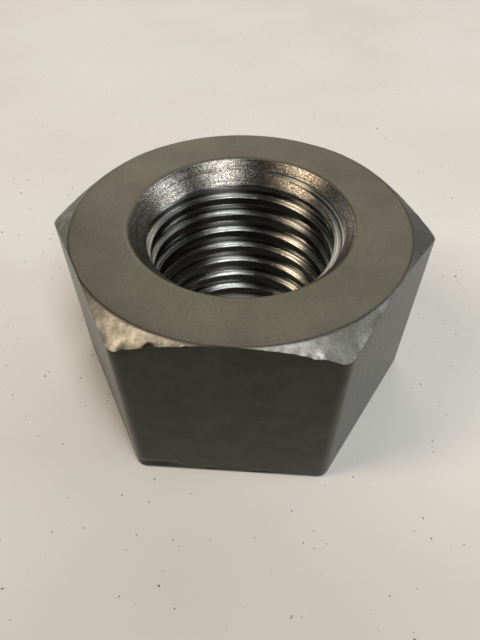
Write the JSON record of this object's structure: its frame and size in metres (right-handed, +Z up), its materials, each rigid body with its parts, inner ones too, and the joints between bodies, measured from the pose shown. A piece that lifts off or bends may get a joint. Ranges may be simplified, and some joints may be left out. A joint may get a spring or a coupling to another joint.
{
  "type": "hex nut",
  "caption": "Heavy hex nut, plain forged steel, with a right-hand coarse thread, a chamfered top and a countersink at each mouth of the bore.",
  "frame": {"origin": "centre of the flat bearing face, on the thread's axis", "axes": "+Z up the thread's axis from the bearing face to the chamfered top; +X through a corner, so one pair of flats faces +Y and -Y"},
  "size_m": [0.0582, 0.0508, 0.031],
  "materials": {
    "forged_steel": "plain uncoated forged steel, dark and slightly mottled on the flats, turned bright on the chamfer, the countersinks and the thread"
  },
  "bodies": {
    "root": {"hex_nut": "forged_steel"}
  },
  "joints": []
}
